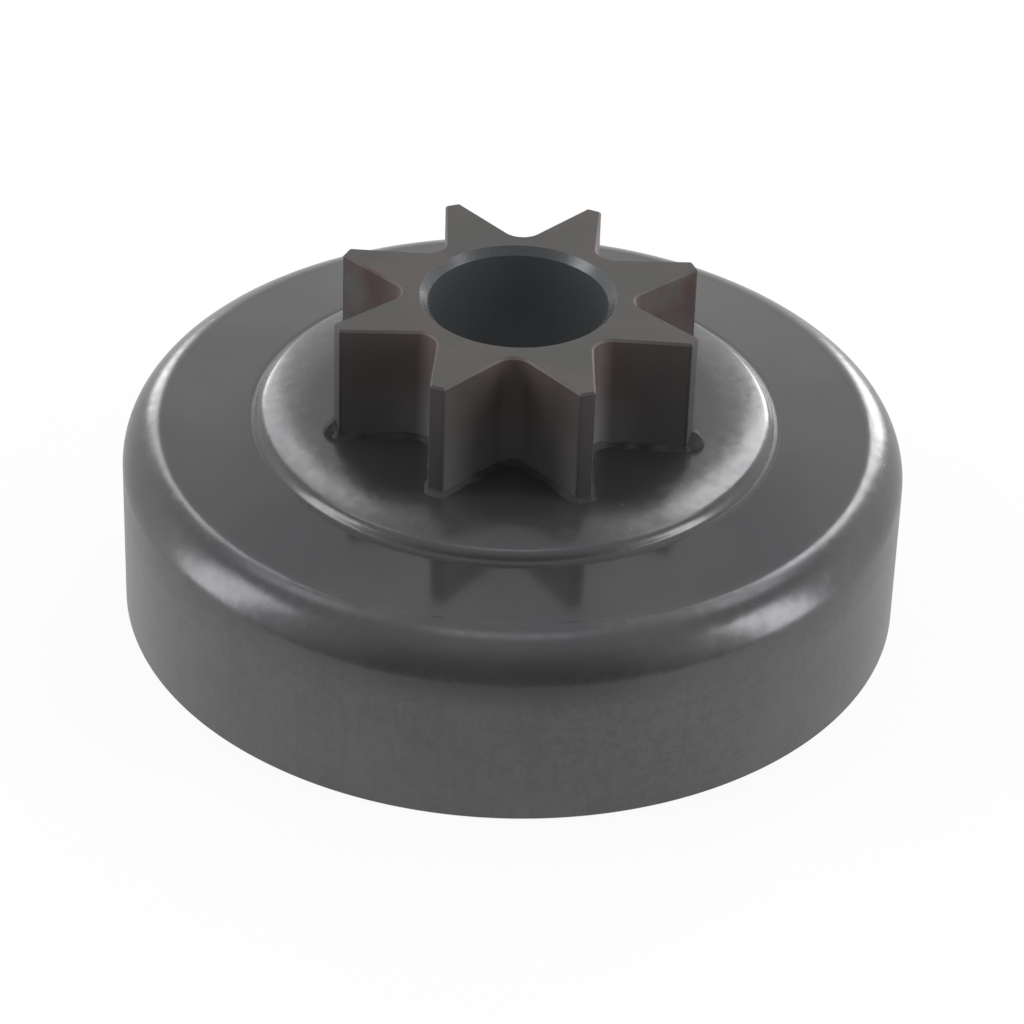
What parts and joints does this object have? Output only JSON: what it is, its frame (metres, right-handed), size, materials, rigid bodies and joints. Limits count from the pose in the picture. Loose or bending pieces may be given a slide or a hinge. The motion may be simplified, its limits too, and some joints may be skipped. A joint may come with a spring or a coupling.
{
  "type": "chainsaw clutch drum with spur sprocket",
  "caption": "Pressed steel clutch drum, open on one side, with a toothed spur sprocket on its closed face to drive a saw chain, bored for a bearing.",
  "frame": {"origin": "on the axis, in the plane of the drum's open rim", "axes": "+Z along the axis, from the open rim to the sprocket; a tooth gap on +X"},
  "size_m": [0.072, 0.072, 0.0318],
  "materials": {
    "drum_steel": "drawn and tumbled steel, satin",
    "sprocket_steel": "hardened and oil-blackened steel, ground on its top face"
  },
  "bodies": {
    "root": {"clutch_drum": "drum_steel", "spur_sprocket": "sprocket_steel"}
  },
  "joints": []
}
